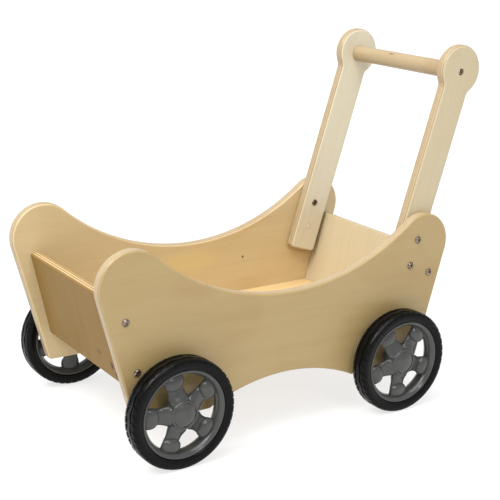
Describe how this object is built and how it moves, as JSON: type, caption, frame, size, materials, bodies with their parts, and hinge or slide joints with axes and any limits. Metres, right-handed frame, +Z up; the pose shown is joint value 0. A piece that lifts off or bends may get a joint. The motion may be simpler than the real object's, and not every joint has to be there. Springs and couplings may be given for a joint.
{
  "type": "doll stroller",
  "caption": "Toy doll stroller: lobed plywood cradle with sloping ends, arched sides and a fixed leaning push handle, on spoked rubber-tyred wheels that turn on through axles.",
  "frame": {"origin": "on the ground, under the middle of the overall box", "axes": "+Z up; +Y along the length towards the push handle, with the lobed front at -Y; +X across, towards the left hand of a child pushing it"},
  "size_m": [0.36, 0.6195, 0.5148],
  "materials": {
    "plywood": "birch veneer plywood under a clear satin lacquer, with sanded edges that show the plies",
    "arm_wood": "pale birch with rounded edges, clear satin lacquer",
    "dowel_wood": "turned birch dowel, clear satin lacquer",
    "bolt_steel": "dark bronzed steel, domed heads",
    "axle_steel": "plain zinc-plated steel",
    "rubber": "black moulded rubber",
    "grey_plastic": "mid-grey moulded plastic, satin",
    "nylon": "black nylon"
  },
  "bodies": {
    "cradle": {"arm_bolt_lower_left": "bolt_steel", "arm_bolt_lower_right": "bolt_steel", "arm_bolt_upper_left": "bolt_steel", "arm_bolt_upper_right": "bolt_steel", "arm_nut_lower_left": "bolt_steel", "arm_nut_lower_right": "bolt_steel", "arm_nut_upper_left": "bolt_steel", "arm_nut_upper_right": "bolt_steel", "arm_plug_left": "arm_wood", "arm_plug_right": "arm_wood", "axle_retainer_front_left": "axle_steel", "axle_retainer_front_right": "axle_steel", "axle_retainer_rear_left": "axle_steel", "axle_retainer_rear_right": "axle_steel", "floor_panel": "plywood", "front_axle": "axle_steel", "front_panel": "plywood", "front_panel_screw_lower_left": "bolt_steel", "front_panel_screw_lower_right": "bolt_steel", "front_panel_screw_upper_left": "bolt_steel", "front_panel_screw_upper_right": "bolt_steel", "handle_arm_left": "arm_wood", "handle_arm_right": "arm_wood", "handle_dowel": "dowel_wood", "handle_screw_left": "bolt_steel", "handle_screw_right": "bolt_steel", "rear_axle": "axle_steel", "rear_panel": "plywood", "rear_panel_screw_lower_left": "bolt_steel", "rear_panel_screw_lower_right": "bolt_steel", "rear_panel_screw_upper_left": "bolt_steel", "rear_panel_screw_upper_right": "bolt_steel", "side_panel_left": "plywood", "side_panel_right": "plywood", "wheel_washer_front_left": "nylon", "wheel_washer_front_right": "nylon", "wheel_washer_rear_left": "nylon", "wheel_washer_rear_right": "nylon"},
    "wheel_front_left": {"tyre_front_left": "rubber", "rim_front_left": "grey_plastic", "hub_cap_front_left": "grey_plastic"},
    "wheel_front_right": {"tyre_front_right": "rubber", "rim_front_right": "grey_plastic", "hub_cap_front_right": "grey_plastic"},
    "wheel_rear_left": {"tyre_rear_left": "rubber", "rim_rear_left": "grey_plastic", "hub_cap_rear_left": "grey_plastic"},
    "wheel_rear_right": {"tyre_rear_right": "rubber", "rim_rear_right": "grey_plastic", "hub_cap_rear_right": "grey_plastic"}
  },
  "joints": [
    {"name": "wheel_front_left_spin", "type": "hinge", "parent": "cradle", "child": "wheel_front_left", "pos_m": [0.164, -0.2077, 0.075], "axis": [1, 0, 0], "continuous": true},
    {"name": "wheel_front_right_spin", "type": "hinge", "parent": "cradle", "child": "wheel_front_right", "pos_m": [-0.164, -0.2077, 0.075], "axis": [1, 0, 0], "continuous": true},
    {"name": "wheel_rear_left_spin", "type": "hinge", "parent": "cradle", "child": "wheel_rear_left", "pos_m": [0.164, 0.1543, 0.075], "axis": [1, 0, 0], "continuous": true},
    {"name": "wheel_rear_right_spin", "type": "hinge", "parent": "cradle", "child": "wheel_rear_right", "pos_m": [-0.164, 0.1543, 0.075], "axis": [1, 0, 0], "continuous": true}
  ]
}
